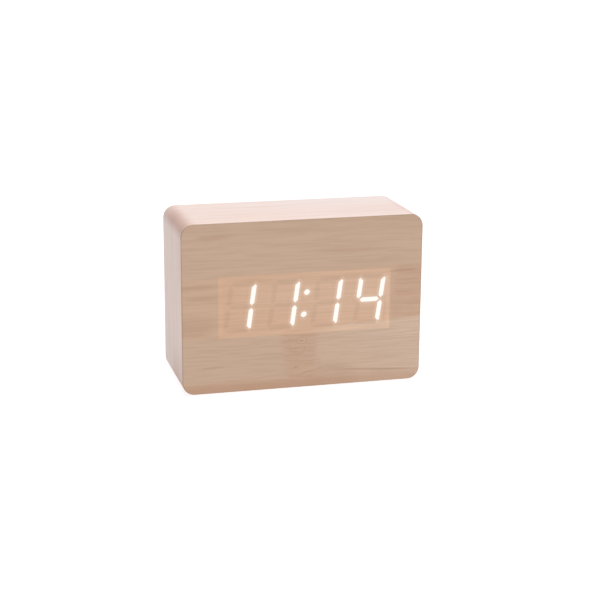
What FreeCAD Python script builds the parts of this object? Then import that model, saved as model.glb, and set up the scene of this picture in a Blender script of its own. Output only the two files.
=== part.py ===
import FreeCAD, Part
import math
import os

# A table alarm clock. A milled fibreboard core is wrapped in a thin wood strip and faced with a bamboo
# veneer, and a four-digit display shines through the veneer. A moulded rear cover carries the battery
# bay, the three buttons and the main board, and a snap-in door closes the bay.
#
# Millimetres. +X is to the right of the display, -Y is the display side and +Z is up. The origin is on
# the surface that the clock stands on, under the middle of the clock.

V = FreeCAD.Vector

# ---------------------------------------------------------------- case, driving dimensions
case_width = 100.0
case_depth = 40.0
case_height = 70.0
corner_radius = 5.0             # the four long edges that run from front to rear
edge_break = 0.35               # softened rim of the front and rear faces
veneer_thickness = 0.6
wrap_thickness = 0.6
wrap_seam = 0.15                # the wrap's two ends meet under the base
core_wall = 5.4
core_front_wall = 3.0
post_side = 7.5                 # square corner posts inside the core, which take the cover screws
post_radius = 1.5
foot_height = 0.8
foot_diameter = 8.0
foot_inset = 9.0                # from the case's sides and faces to a pad's middle
foot_rounding = 0.24

# ---------------------------------------------------------------- display, driving dimensions
display_offset = 0.65           # the display sits this far right of the middle
display_rise = 0.45             # and this far above it
digit_count = 4
digit_pitch = 18.0
bar_pitch = 9.35                # from a digit's middle bar to its top or bottom bar
bar_reach = 4.7                 # from a digit's middle to its side bars
bar_width = 1.9
bar_gap = 1.06                  # from tip to tip of two side bars that meet at the middle
tip_gap = 0.16                  # how far a side bar's outer tip stops short of the outer bar's middle
tip_shift = 0.35                # how far outwards the outer tips are shifted, so that the corners look mitred
middle_gap = 0.6                # from the middle bar's tip to the middle of a side bar
digit_lean = 0.14               # sideways shift for each unit of height
colon_rise = 4.6
colon_radius = 1.15
reflector_depth = 6.0
window_width = 72.4
window_height = 26.0
reflector_clearance = 0.2       # between the reflector and the window's edges
film_thickness = 0.2
ear_reach = 5.5                 # how far the reflector's flange passes the window at each end
ear_thickness = 1.8
flange_rise = 2.0               # how far the flange passes the window above and below
stake_radius = 0.7              # heat-staked pins that hold the display board
stake_inset = 1.6
stake_stand = 0.8               # how far a pin stands out behind the board
stake_clearance = 0.05
board_thickness = 1.6
led_length = 1.0
led_width = 0.6
led_height = 0.6
display_screw_radius = 1.0
display_screw_bite = 2.0        # how far those screws go into the front wall

# ---------------------------------------------------------------- rear cover, driving dimensions
cover_recess = 1.5              # the cover's face lies this far inside the rear rim
cover_thickness = 2.5
cover_ledge = 2.0               # step in the core that the cover's edge sits on
cover_clearance = 0.2
cover_rounding = 0.4
tub_wall = 1.2
tub_clearance = 0.5             # from the tub to the core's posts
tub_rise = 0.8                  # from the core's floor to the tub
rib_height = 2.0                # ribs on the bay's floor, between the cells
rib_thickness = 0.8
rib_margin = 6.0                # from the ribs' ends to the contacts
mark_depth = 0.25
mark_size = 1.2
mark_rise = 2.2                 # from a button's edge to its mark's middle
door_thickness = 1.5
door_gap = 0.3
door_ledge = 1.5                # step behind the door's edge
door_seat = 0.1                 # between the door and that step
door_rounding = 0.3
tongue_reach = 1.3              # how far a tongue reaches under the step
tongue_width = 2.4              # narrow enough to swing between two cells
tongue_thickness = 0.8
tongue_clearance = 0.35
tongue_root = 1.3
root_clearance = 0.2
tongue_room = 4.0               # depth of the slot that a tongue swings in
latch_width = 12.0
latch_slit = 0.8
latch_length = 5.0
barb_thickness = 0.9
barb_clearance = 0.25
catch_depth = 0.7
grip_ribs = 4
grip_pitch = 1.1
grip_width = 0.5
grip_height = 0.35

# ---------------------------------------------------------------- cells and contacts, driving dimensions
cell_count = 3
cell_diameter = 10.5
cell_length = 44.5              # over the terminal nub
cell_spacing = 0.6              # free space between two cells and beside them
cell_play = 0.2                 # from a cell to the door and to the bay's floor
cell_rounding = 0.5
nub_radius = 1.9
nub_height = 0.8
spring_room = 4.5               # from the bay's end wall to a cell's flat end
contact_thickness = 0.3
contact_bump = 0.7
bump_radius = 1.8
contact_width = 8.0
contact_lift = 0.4              # from the bay's floor to a contact plate
touch_gap = 0.05                # left between a contact and its cell
spring_wire = 0.5
spring_turns = 3
spring_radius = 2.6             # of the widest turn, to the wire's middle
spring_taper = 0.65             # the narrowest turn's share of it
solder_tab_width = 2.5
solder_tab_reach = 2.5
tab_clearance = 0.1

# ---------------------------------------------------------------- buttons and switches, driving dimensions
button_diameter = 7.0
button_clearance = 0.25
button_pitch = 16.0
button_stand = 1.1              # how far a cap stands out of the cover
button_rounding = 0.5
button_travel = 0.4
dish_radius = 18.0              # hollow of a cap's top
dish_depth = 0.25
flange_overlap = 1.0            # how far a cap's flange passes its hole
flange_thickness = 1.0
flange_clearance = 0.1
switch_side = 6.0
switch_body = 3.5
switch_floor = 1.2
plunger_stand = 1.5             # how far a switch's plunger stands out of its body
plunger_radius = 1.7
plunger_clearance = 0.1
leg_width = 0.7
leg_thickness = 0.25
leg_reach = 1.0
leg_rise = 1.6
leg_offset = 2.25

# ---------------------------------------------------------------- other parts on the main board
board_margin = 0.8              # from the main board to what surrounds it
usb_rise = 9.0                  # from the board's lower edge to the socket
usb_width = 7.5
usb_height = 2.8
usb_wall = 0.3
usb_depth = 7.0
usb_chamfer = 0.8
usb_clearance = 0.4
usb_floor = 1.5
usb_tongue_width = 4.4
usb_tongue_thickness = 0.7
usb_tongue_inset = 0.8          # from the tongue's end to the socket's mouth
usb_tongue_drop = 0.5           # from the sleeve to the tongue
buzzer_rise = 15.5              # from the socket to the buzzer
buzzer_radius = 4.5
buzzer_height = 5.5
buzzer_port = 0.9
sensor_rise = 11.5              # from the buzzer to the two sensors
sensor_spread = 7.5             # from the column's middle to a sensor
microphone_radius = 3.0
microphone_height = 2.7
bead_radius = 1.1
bead_stand = 3.6
bead_wire = 0.2
sound_hole_radius = 0.75
sound_hole_pitch = 2.6
chip_length = 17.9
chip_width = 7.5
chip_height = 2.3
chip_lift = 0.15
chip_pins = 14
chip_pin_pitch = 1.27
chip_pin_width = 0.4
chip_pin_thickness = 0.25
chip_pin_knee = 0.5
chip_pin_reach = 1.2
crystal_radius = 1.0
crystal_length = 6.0
crystal_drop = 7.0              # from the sensors to the crystal
capacitor_radius = 2.5
capacitor_height = 7.0
capacitor_rise = 10.0           # from the socket to the capacitor
capacitor_offset = 5.5
connector_length = 20.0
connector_depth = 4.0
connector_height = 2.6
connector_margin = 2.0
ribbon_width = 17.8
ribbon_thickness = 0.9
lead_radius = 0.5

# ---------------------------------------------------------------- fasteners, driving dimensions
head_radius = 2.0
head_height = 1.3
head_clearance = 0.3
head_sink = 0.2                 # how far a cover screw's head lies below the cover's face
cross_width = 0.6
cross_depth = 0.8
cover_screw_radius = 1.1
cover_screw_bite = 8.0
board_screw_radius = 1.0
board_screw_length = 5.5
boss_radius = 2.4
boss_margin = 0.3               # from a boss to the main board's edge
screw_clearance = 0.15          # in the parts that a screw only passes through
thread_clearance = 0.02         # between a screw's stated radius and the hole that it cuts its thread in
pilot_spare = 0.5               # how much deeper a blind hole is than its screw

# ---------------------------------------------------------------- faces and places that follow from these
front_y = -case_depth / 2
rear_y = case_depth / 2
bottom_z = foot_height
top_z = foot_height + case_height
middle_z = (bottom_z + top_z) / 2

core_front_y = front_y + veneer_thickness
core_half = case_width / 2 - wrap_thickness
core_bottom = bottom_z + wrap_thickness
core_top = top_z - wrap_thickness
core_radius = corner_radius - wrap_thickness
cavity_front_y = core_front_y + core_front_wall
cavity_half = core_half - core_wall
cavity_bottom = core_bottom + core_wall
cavity_top = core_top - core_wall
post_half = cavity_half - post_side        # the posts' inner faces
post_low = cavity_bottom + post_side
post_high = cavity_top - post_side

cover_out_y = rear_y - cover_recess
cover_in_y = cover_out_y - cover_thickness
recess_half = cavity_half + cover_ledge
recess_bottom = cavity_bottom - cover_ledge
recess_top = cavity_top + cover_ledge
recess_radius = max(core_radius - core_wall + cover_ledge, 1.0)
cover_screw_x = cavity_half - post_side / 2
cover_screw_z = (cavity_bottom + post_side / 2, cavity_top - post_side / 2)
counterbore_y = cover_out_y - head_height - head_sink

display_x = display_offset
display_z = middle_z + display_rise
film_front_y = core_front_y
reflector_front_y = film_front_y + film_thickness
reflector_rear_y = reflector_front_y + reflector_depth
reflector_half_x = window_width / 2 - reflector_clearance
reflector_half_z = window_height / 2 - reflector_clearance
ear_half_x = window_width / 2 + ear_reach
ear_half_z = window_height / 2 + flange_rise
ear_rear_y = cavity_front_y + ear_thickness
display_screw_x = window_width / 2 + ear_reach / 2
display_screw_z = window_height / 2 - flange_rise
display_board_rear_y = reflector_rear_y + board_thickness

cell_pitch = cell_diameter + cell_spacing
nub_room = contact_thickness + contact_bump + touch_gap
bay_length = spring_room + cell_length + nub_room
bay_height = cell_count * cell_pitch + cell_spacing
tub_left = -post_half + tub_clearance
bay_left = tub_left + tub_wall
bay_right = bay_left + bay_length
tub_right = bay_right + tub_wall
tub_bottom = cavity_bottom + tub_rise
bay_bottom = tub_bottom + tub_wall
bay_top = bay_bottom + bay_height
bay_middle = (bay_bottom + bay_top) / 2
tub_top = bay_top + tub_wall
door_in_y = cover_out_y - door_thickness
door_left = bay_left - door_ledge
door_right = bay_right + door_ledge
door_bottom = bay_bottom - door_ledge
door_top = bay_top + door_ledge
hinge_x = door_left + door_thickness / 2
hinge_y = cover_out_y - door_thickness / 2
cell_y = door_in_y - cell_play - cell_diameter / 2
bay_floor_y = cell_y - cell_diameter / 2 - cell_play
tub_front_y = bay_floor_y - tub_wall
cell_z = [bay_top - cell_spacing - cell_diameter / 2 - k * cell_pitch for k in range(cell_count)]

flange_rear_y = cover_in_y - flange_clearance
cap_top_y = cover_out_y + button_stand
plunger_tip_y = flange_rear_y - flange_thickness
board_rear_y = plunger_tip_y - plunger_stand - switch_body
board_front_y = board_rear_y - board_thickness
button_z = (tub_top + cavity_top) / 2
button_x = [(bay_left + bay_right) / 2 + (k - 1) * button_pitch for k in range(3)]
button_names = ("set", "up", "down")

strip_left = -post_half + board_margin
strip_right = post_half - board_margin
strip_bottom = tub_top + board_margin
strip_top = cavity_top - board_margin
column_left = tub_right + board_margin
column_right = cavity_half - board_margin
column_bottom = post_low + board_margin
column_top = post_high - board_margin
column_x = (column_left + column_right) / 2
usb_z = column_bottom + usb_rise
buzzer_z = usb_z + buzzer_rise
sensor_z = buzzer_z + sensor_rise
microphone_x = column_x - sensor_spread
bead_x = column_x + sensor_spread
boss_inset = boss_radius + boss_margin
board_screw_places = (
    (strip_left + boss_inset, strip_bottom + boss_inset),
    (strip_right - boss_inset, strip_top - boss_inset),
    (column_left + boss_inset, column_bottom + boss_inset),
    (column_right - boss_inset, column_bottom + boss_inset),
)
ribbon_x = column_x
display_plug_z = display_z
board_plug_z = column_top - connector_depth / 2 - connector_margin


# ---------------------------------------------------------------- shared shapes
def block(x0, x1, y0, y1, z0, z1):
    """A rectangular block between two opposite corners."""
    return Part.makeBox(x1 - x0, y1 - y0, z1 - z0, V(x0, y0, z0))


def block_at(x, z, y0, y1, width, height):
    """A rectangular block about the middle (x, z)."""
    return block(x - width / 2, x + width / 2, y0, y1, z - height / 2, z + height / 2)


def peg(x, z, y0, y1, radius):
    """A round bar that runs from front to rear."""
    return Part.makeCylinder(radius, y1 - y0, V(x, y0, z), V(0, 1, 0))


def slab(x0, x1, z0, z1, y0, y1, radius):
    """A plate in the plane of the display, with its four corners rounded."""
    plate = block(x0, x1, y0, y1, z0, z1)
    corners = [e for e in plate.Edges if is_along_y(e)]
    return plate.makeFillet(radius, corners)


def is_along_y(edge):
    """True for a straight edge that runs from front to rear."""
    ends = [v.Point for v in edge.Vertexes]
    return len(ends) == 2 and abs((ends[1] - ends[0]).normalize().y) > 0.999


def soften(shape, y, size):
    """Rounds every edge of the shape that lies in the plane at y."""
    rim = [e for e in shape.Edges if all(abs(v.Y - y) < 1e-6 for v in e.Vertexes)]
    return shape.makeFillet(size, rim)


def prism(points, y0, y1):
    """A straight-sided body whose outline is a list of (x, z) points."""
    ring = [V(x, y0, z) for x, z in points]
    face = Part.Face(Part.makePolygon(ring + ring[:1]))
    return face.extrude(V(0, y1 - y0, 0))


def joined(shapes):
    """One body from shapes that touch or overlap."""
    return shapes[0].multiFuse(shapes[1:]).removeSplitter()


def group(shapes):
    """Separate bodies kept together, or a set of cutters."""
    return Part.makeCompound(shapes)


def arc_radius(before, corner, after):
    """How far an arc's ends lie from its corner, and its radius: as large as the two runs allow."""
    into = corner - before
    onward = after - corner
    trim = 0.45 * min(into.Length, onward.Length)
    return trim, trim / math.tan(into.getAngle(onward) / 2)


def rounded_path(points):
    """A path of straight runs joined by tangent arcs."""
    edges = []
    start = points[0]
    for before, corner, after in zip(points, points[1:], points[2:]):
        trim, radius = arc_radius(before, corner, after)
        a = corner + (before - corner).normalize() * trim
        b = corner + (after - corner).normalize() * trim
        sag = math.hypot(radius, trim) - radius
        on_arc = corner + ((a + b) * 0.5 - corner).normalize() * sag
        edges.append(Part.LineSegment(start, a).toShape())
        edges.append(Part.Arc(a, on_arc, b).toShape())
        start = b
    edges.append(Part.LineSegment(start, points[-1]).toShape())
    return Part.Wire(edges)


def swept(points, section):
    """A body of one section along a rounded path."""
    return rounded_path(points).makePipeShell([section], True, False)


def screw(x, z, head_y, tip_y, radius):
    """A pan-head screw with a cross recess. Its head's underside is at head_y and its point at tip_y."""
    way = 1 if tip_y > head_y else -1
    crown_y = head_y - way * head_height
    head = Part.makeCylinder(head_radius, head_height, V(x, head_y, z), V(0, -way, 0))
    crown = [e for e in head.Edges if abs(e.BoundBox.YMin - crown_y) < 1e-6]
    head = head.makeFillet(head_height * 0.4, crown)
    point = radius * 1.2
    shank_length = abs(tip_y - head_y) - point
    shank = Part.makeCylinder(radius, shank_length, V(x, head_y, z), V(0, way, 0))
    tip = Part.makeCone(radius, radius * 0.3, point, V(x, head_y + way * shank_length, z), V(0, way, 0))
    low = min(crown_y, crown_y + way * cross_depth)
    arm = head_radius * 1.2
    cross = [
        block_at(x, z, low, low + cross_depth, arm, cross_width),
        block_at(x, z, low, low + cross_depth, cross_width, arm),
    ]
    return joined([head, shank, tip]).cut(joined(cross))


# ---------------------------------------------------------------- case
def case_core():
    """The fibreboard block: one milled cavity with four corner posts, a display window and a cover step."""
    core = slab(-core_half, core_half, core_bottom, core_top, core_front_y, rear_y, core_radius)
    cavity = block(-cavity_half, cavity_half, cavity_front_y, rear_y, cavity_bottom, cavity_top)
    for x in (-cavity_half, post_half):
        for z in (cavity_bottom, post_high):
            post = block(x, x + post_side, cavity_front_y, rear_y, z, z + post_side)
            inner = [e for e in post.Edges if is_along_y(e) and is_inner_corner(e)]
            cavity = cavity.cut(post.makeFillet(post_radius, inner))
    recess = slab(-recess_half, recess_half, recess_bottom, recess_top, cover_in_y, rear_y, recess_radius)
    window = block_at(display_x, display_z, core_front_y, cavity_front_y, window_width, window_height)
    core = core.cut(cavity).cut(recess).cut(window)
    for x, z in cover_screw_spots():
        floor = cover_in_y - cover_screw_bite - pilot_spare
        core = core.cut(peg(x, z, floor, cover_in_y, cover_screw_radius + thread_clearance))
    for x, z in display_screw_spots():
        floor = cavity_front_y - display_screw_bite - pilot_spare
        core = core.cut(peg(x, z, floor, cavity_front_y, display_screw_radius + thread_clearance))
    return core


def is_inner_corner(edge):
    """True for a post's edge that faces the middle of the cavity."""
    p = edge.Vertexes[0].Point
    return abs(abs(p.x) - post_half) < 1e-6 and (abs(p.z - post_low) < 1e-6 or abs(p.z - post_high) < 1e-6)


def side_wrap():
    """The wood strip round the four sides, butted under the base."""
    outer = slab(-case_width / 2, case_width / 2, bottom_z, top_z, core_front_y, rear_y, corner_radius)
    outer = soften(outer, rear_y, edge_break)
    inner = slab(-core_half, core_half, core_bottom, core_top, core_front_y, rear_y, core_radius)
    seam = block(-wrap_seam / 2, wrap_seam / 2, core_front_y, rear_y, bottom_z, core_bottom)
    return outer.cut(inner).cut(seam)


def front_veneer():
    """The bamboo sheet over the whole front, with a softened rim."""
    sheet = slab(-case_width / 2, case_width / 2, bottom_z, top_z, front_y, core_front_y, corner_radius)
    return soften(sheet, front_y, edge_break)


def foot(x, y):
    """A round stick-on pad under the base, with its lower edge rounded."""
    pad = Part.makeCylinder(foot_diameter / 2, foot_height, V(x, y, 0), V(0, 0, 1))
    return pad.makeFillet(foot_rounding, [e for e in pad.Edges if e.BoundBox.ZMax < 1e-6])


def feet():
    """The four pads, by name."""
    reach_x = case_width / 2 - foot_inset
    reach_y = case_depth / 2 - foot_inset
    return {
        "foot_front_left": foot(-reach_x, -reach_y),
        "foot_front_right": foot(reach_x, -reach_y),
        "foot_rear_left": foot(-reach_x, reach_y),
        "foot_rear_right": foot(reach_x, reach_y),
    }


# ---------------------------------------------------------------- display
def bar(low, high, low_shift, high_shift):
    """A bar's outline as (along, across) points: a hexagon with a pointed tip at each end."""
    h = bar_width / 2
    return [
        (high, high_shift), (high - h + high_shift, h), (low + h - low_shift, h),
        (low, low_shift), (low + h + low_shift, -h), (high - h - high_shift, -h),
    ]


def digit_bars():
    """The seven bars of one digit, as (u, v) outlines about its middle: u is sideways and v is up."""
    side = bar(bar_gap / 2, bar_pitch - tip_gap, 0, tip_shift)
    outer = bar(tip_gap - bar_reach, bar_reach - tip_gap, tip_shift, tip_shift)
    middle = bar(middle_gap - bar_reach, bar_reach - middle_gap, 0, 0)
    bars = [[(s * (bar_reach + b), t * a) for a, b in side] for s in (-1, 1) for t in (-1, 1)]
    bars += [[(a, t * (bar_pitch + b)) for a, b in outer] for t in (-1, 1)]
    bars.append([(a, b) for a, b in middle])
    return bars


def digit_middles():
    """The digits' middles along X."""
    return [display_x + (k - (digit_count - 1) / 2) * digit_pitch for k in range(digit_count)]


def leaned(x, points):
    """Digit points moved to their place, with the digit's lean."""
    return [(x + u + digit_lean * v, display_z + v) for u, v in points]


def colon_spots():
    """The middles of the two round dots between the second and the third digit."""
    return [(display_x + digit_lean * v, display_z + v) for v in (colon_rise, -colon_rise)]


def bar_outlines():
    """Every bar of every digit, in its place."""
    return [leaned(x, points) for x in digit_middles() for points in digit_bars()]


def stake_spots():
    """The four pins that hold the display board, near its corners."""
    reach_x = reflector_half_x - stake_inset
    reach_z = reflector_half_z - stake_inset
    return [(display_x + s * reach_x, display_z + t * reach_z) for s in (-1, 1) for t in (-1, 1)]


def display_screw_spots():
    """The four screws that hold the reflector's flange to the core's front wall."""
    return [
        (display_x + s * display_screw_x, display_z + t * display_screw_z)
        for s in (-1, 1) for t in (-1, 1)
    ]


def display_plate(y0, y1):
    """A plate of the size that fits the window."""
    return block_at(display_x, display_z, y0, y1, 2 * reflector_half_x, 2 * reflector_half_z)


def diffuser_film():
    """The milky film between the veneer and the reflector."""
    return display_plate(film_front_y, reflector_front_y)


def segment_reflector():
    """The white block that keeps each bar's light apart, with its flange and its board pins."""
    body = display_plate(reflector_front_y, reflector_rear_y)
    flange = slab(
        display_x - ear_half_x, display_x + ear_half_x, display_z - ear_half_z, display_z + ear_half_z,
        cavity_front_y, ear_rear_y, flange_rise,
    )
    stake_end = display_board_rear_y + stake_stand
    stakes = [peg(x, z, reflector_rear_y, stake_end, stake_radius) for x, z in stake_spots()]
    cuts = [prism(points, reflector_front_y, reflector_rear_y) for points in bar_outlines()]
    cuts += [peg(x, z, reflector_front_y, reflector_rear_y, colon_radius) for x, z in colon_spots()]
    hole = display_screw_radius + screw_clearance
    cuts += [peg(x, z, cavity_front_y, ear_rear_y, hole) for x, z in display_screw_spots()]
    return joined([body, flange] + stakes).cut(group(cuts))


def display_board():
    """The circuit board behind the reflector, with holes for the pins."""
    hole = stake_radius + stake_clearance
    cuts = [peg(x, z, reflector_rear_y, display_board_rear_y, hole) for x, z in stake_spots()]
    return display_plate(reflector_rear_y, display_board_rear_y).cut(group(cuts))


def segment_leds():
    """One small lamp at the bottom of each well."""
    spots = []
    for points in bar_outlines():
        spots.append((sum(x for x, z in points) / len(points), sum(z for x, z in points) / len(points)))
    lamp_front_y = reflector_rear_y - led_height
    return group([
        block_at(x, z, lamp_front_y, reflector_rear_y, led_length, led_width)
        for x, z in spots + colon_spots()
    ])


def display_screws():
    """The four screws of the reflector's flange."""
    tip = cavity_front_y - display_screw_bite
    return group([screw(x, z, ear_rear_y, tip, display_screw_radius) for x, z in display_screw_spots()])


def ribbon_header(z, y0, y1):
    """A low plastic header that the ribbon is soldered into."""
    return block_at(ribbon_x, z, y0, y1, connector_length, connector_depth)


# ---------------------------------------------------------------- rear cover and battery door
def cover_screw_spots():
    """The four screws that hold the rear cover."""
    return [(x, z) for x in (-cover_screw_x, cover_screw_x) for z in cover_screw_z]


def valleys():
    """The heights between two cells, where the door's tongues and the bay's ribs go."""
    return [(a + b) / 2 for a, b in zip(cell_z, cell_z[1:])]


def sound_hole_spots():
    """A middle hole and six round it, over the buzzer."""
    ring = [math.radians(60 * k) for k in range(6)]
    r = sound_hole_pitch
    return [(column_x, buzzer_z)] + [(column_x + r * math.cos(a), buzzer_z + r * math.sin(a)) for a in ring]


def arrow(x, z, sideways, upwards):
    """A sunken triangle in the cover's or the door's face, which points one way."""
    s = mark_size
    tip = (x + sideways * s, z + upwards * s)
    base_x = x - sideways * s
    base_z = z - upwards * s
    corners = [tip]
    corners += [(base_x + t * upwards * s, base_z + t * sideways * s) for t in (-1, 1)]
    return prism(corners, cover_out_y - mark_depth, cover_out_y)


def button_marks():
    """Sunken signs above the buttons: a ring to set, and an arrow up and down."""
    z = button_z + button_diameter / 2 + mark_rise
    ring = peg(button_x[0], z, cover_out_y - mark_depth, cover_out_y, mark_size)
    ring = ring.cut(peg(button_x[0], z, cover_out_y - mark_depth, cover_out_y, mark_size / 2))
    return [ring, arrow(button_x[1], z, 0, 1), arrow(button_x[2], z, 0, -1)]


def cover_holes():
    """The holes through the cover's plate for the buttons, the screws, the sound and the socket."""
    y0 = cover_in_y
    y1 = cover_out_y
    holes = [peg(x, button_z, y0, y1, button_diameter / 2 + button_clearance) for x in button_x]
    for x, z in cover_screw_spots():
        holes.append(peg(x, z, y0, y1, cover_screw_radius + screw_clearance))
        holes.append(peg(x, z, counterbore_y, y1, head_radius + head_clearance))
    holes += [peg(x, z, y0, y1, sound_hole_radius) for x, z in sound_hole_spots()]
    holes += [peg(x, sensor_z, y0, y1, sound_hole_radius) for x in (microphone_x, bead_x)]
    holes.append(usb_outline(usb_clearance, y0, y1))
    return holes


def bay_cuts():
    """The battery bay, the door's opening, the tongues' slots, the latch's catch and the tabs' slots."""
    g = door_gap
    cuts = [block(bay_left, bay_right, bay_floor_y, cover_out_y, bay_bottom, bay_top)]
    cuts.append(block(
        door_left - g, door_right + g, door_in_y - door_seat, cover_out_y, door_bottom - g, door_top + g,
    ))
    for z in valleys():
        cuts.append(block(
            bay_left - tongue_reach - 2 * g, bay_left, cover_in_y - tongue_room, cover_in_y,
            z - tongue_width / 2 - g, z + tongue_width / 2 + g,
        ))
    cuts.append(block(
        bay_right, bay_right + catch_depth, cover_in_y - barb_thickness - g, cover_in_y,
        bay_middle - latch_width / 2, bay_middle + latch_width / 2,
    ))
    for x, z in solder_tab_spots():
        x0, x1 = tab_span(x, tab_clearance)
        half = solder_tab_width / 2 + tab_clearance
        cuts.append(block(x0, x1, tub_front_y, bay_floor_y, z - half, z + half))
    return cuts


def bay_ribs():
    """Low ribs on the bay's floor that keep the cells in line."""
    x0 = bay_left + spring_room + rib_margin
    x1 = bay_right - rib_margin
    half = rib_thickness / 2
    return [block(x0, x1, bay_floor_y, bay_floor_y + rib_height, z - half, z + half) for z in valleys()]


def rear_cover():
    """The moulded cover: plate, battery tub, door opening, button holes and the bosses for the main board."""
    c = cover_clearance
    plate = slab(
        -recess_half + c, recess_half - c, recess_bottom + c, recess_top - c,
        cover_in_y, cover_out_y, recess_radius - c,
    )
    plate = soften(plate, cover_out_y, cover_rounding)
    tub = block(tub_left, tub_right, tub_front_y, cover_in_y, tub_bottom, tub_top)
    bosses = [peg(x, z, board_rear_y, cover_in_y, boss_radius) for x, z in board_screw_places]
    pilot = board_screw_radius + thread_clearance
    pilot_end = board_rear_y + board_screw_length
    pilots = [peg(x, z, board_rear_y, pilot_end, pilot) for x, z in board_screw_places]
    cover = joined([plate, tub] + bosses)
    for cutter in bay_cuts() + cover_holes() + pilots + button_marks():
        cover = cover.cut(cutter)
    return joined([cover] + bay_ribs())


def battery_door():
    """The snap-in door: a plate whose tongues hook under the cover's step and whose latch tab springs."""
    plate = block(hinge_x, door_right, door_in_y, cover_out_y, door_bottom, door_top)
    plate = soften(plate, cover_out_y, door_rounding)
    nose = Part.makeCylinder(
        door_thickness / 2, door_top - door_bottom, V(hinge_x, hinge_y, door_bottom), V(0, 0, 1),
    )
    tongue_out_y = cover_in_y - tongue_clearance
    tongue_in_y = tongue_out_y - tongue_thickness
    root_left = bay_left + root_clearance
    pieces = [plate, nose]
    for z in valleys():
        z0 = z - tongue_width / 2
        z1 = z + tongue_width / 2
        pieces.append(block(root_left, root_left + tongue_root, tongue_in_y, door_in_y, z0, z1))
        pieces.append(block(bay_left - tongue_reach, root_left, tongue_in_y, tongue_out_y, z0, z1))
    barb_right = bay_right - barb_clearance
    barb_half = latch_width / 2 - latch_slit
    pieces.append(block(
        barb_right - barb_thickness, barb_right, cover_in_y - barb_thickness, door_in_y,
        bay_middle - barb_half, bay_middle + barb_half,
    ))
    door = joined(pieces)
    slit_x = door_right - latch_length / 2
    for s in (-1, 1):
        z = bay_middle + s * latch_width / 2
        door = door.cut(block_at(slit_x, z, door_in_y, cover_out_y, latch_length, latch_slit))
    door = door.cut(arrow(door_right - latch_length - 2 * mark_size, bay_middle, -1, 0))
    ribs = []
    for k in range(grip_ribs):
        x = door_right - (k + 1) * grip_pitch
        grip_top = cover_out_y + grip_height
        ribs.append(block_at(x, bay_middle, cover_out_y, grip_top, grip_width, 2 * barb_half))
    return joined([door] + ribs)


def cover_screws():
    """The four screws of the rear cover."""
    tip = cover_in_y - cover_screw_bite
    return group([screw(x, z, counterbore_y, tip, cover_screw_radius) for x, z in cover_screw_spots()])


# ---------------------------------------------------------------- cells and contacts
def points_right(k):
    """True for a cell whose nub points to +X. The cells lie head to tail."""
    return k % 2 == 0


def battery_cell(k):
    """A small round cell with its nub, on its side in the bay."""
    way = 1 if points_right(k) else -1
    tip = bay_right - nub_room if points_right(k) else bay_left + nub_room
    body_length = cell_length - nub_height
    start = V(tip - way * cell_length, cell_y, cell_z[k])
    body = Part.makeCylinder(cell_diameter / 2, body_length, start, V(way, 0, 0))
    body = body.makeFillet(cell_rounding, body.Edges[:1] + body.Edges[2:])
    nub_start = V(tip - way * nub_height, cell_y, cell_z[k])
    nub = Part.makeCylinder(nub_radius, nub_height, nub_start, V(way, 0, 0))
    return joined([body, nub])


def contact_plate(left, z0, z1):
    """A flat metal plate against the bay's left or right end wall."""
    x0 = bay_left if left else bay_right - contact_thickness
    y0 = bay_floor_y + contact_lift
    return block(x0, x0 + contact_thickness, y0, y0 + contact_width, z0, z1)


def contact_dimple(left, z):
    """The pressed bump that meets a cell's nub."""
    x = bay_left + contact_thickness if left else bay_right - contact_thickness
    way = 1 if left else -1
    return Part.makeCone(bump_radius, bump_radius * 0.7, contact_bump, V(x, cell_y, z), V(way, 0, 0))


def contact_spring(left, z):
    """The conical coil that presses on a cell's flat end. Its first turn lies on the plate."""
    way = 1 if left else -1
    plate_x = bay_left + contact_thickness if left else bay_right - contact_thickness
    sunk = spring_wire * 0.3
    reach = spring_room - contact_thickness - touch_gap - spring_wire / 2
    steps = 8 * spring_turns
    points = []
    for k in range(steps + 1):
        climb = min(max((k - 6) / (steps - 12), 0.0), 1.0)
        radius = spring_radius * (1 + (spring_taper - 1) * k / steps)
        angle = math.radians(45 * k)
        advance = sunk + (reach - sunk) * climb
        points.append(V(
            plate_x + way * advance, cell_y + radius * math.cos(angle), z + radius * math.sin(angle),
        ))
    section = Part.Wire(Part.makeCircle(spring_wire / 2, points[0], points[1] - points[0]))
    return swept(points, section)


def solder_tab_spots():
    """The end wall's x and the height of the two terminals' solder tabs."""
    return [(bay_left, cell_z[0]), (bay_right, cell_z[-1])]


def tab_span(x, extra):
    """The two faces of a tab that lies against the end wall at x."""
    inward = contact_thickness + extra
    return (x, x + inward) if x == bay_left else (x - inward, x)


def solder_tab(x, z):
    """The leg of a terminal plate that passes through the bay's floor."""
    x0, x1 = tab_span(x, 0)
    half = solder_tab_width / 2
    return block(x0, x1, tub_front_y - solder_tab_reach, bay_floor_y + contact_lift, z - half, z + half)


def contact(left, cells, tab=None):
    """One plate for the cells that it serves: a bump meets a nub and a spring meets a flat end."""
    half = contact_width / 2
    pieces = [contact_plate(left, cell_z[cells[-1]] - half, cell_z[cells[0]] + half)]
    for k in cells:
        meets_nub = points_right(k) != left
        piece = contact_dimple if meets_nub else contact_spring
        pieces.append(piece(left, cell_z[k]))
    if tab:
        pieces.append(solder_tab(*tab))
    return joined(pieces)


# ---------------------------------------------------------------- buttons and switches
def button_cap(x):
    """A round cap with a retaining flange and a slightly hollow top."""
    radius = button_diameter / 2
    head = soften(peg(x, button_z, flange_rear_y, cap_top_y, radius), cap_top_y, button_rounding)
    flange = peg(x, button_z, plunger_tip_y, flange_rear_y, radius + flange_overlap)
    dish = Part.makeSphere(dish_radius, V(x, cap_top_y + dish_radius - dish_depth, button_z))
    return joined([head, flange]).cut(dish)


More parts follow.
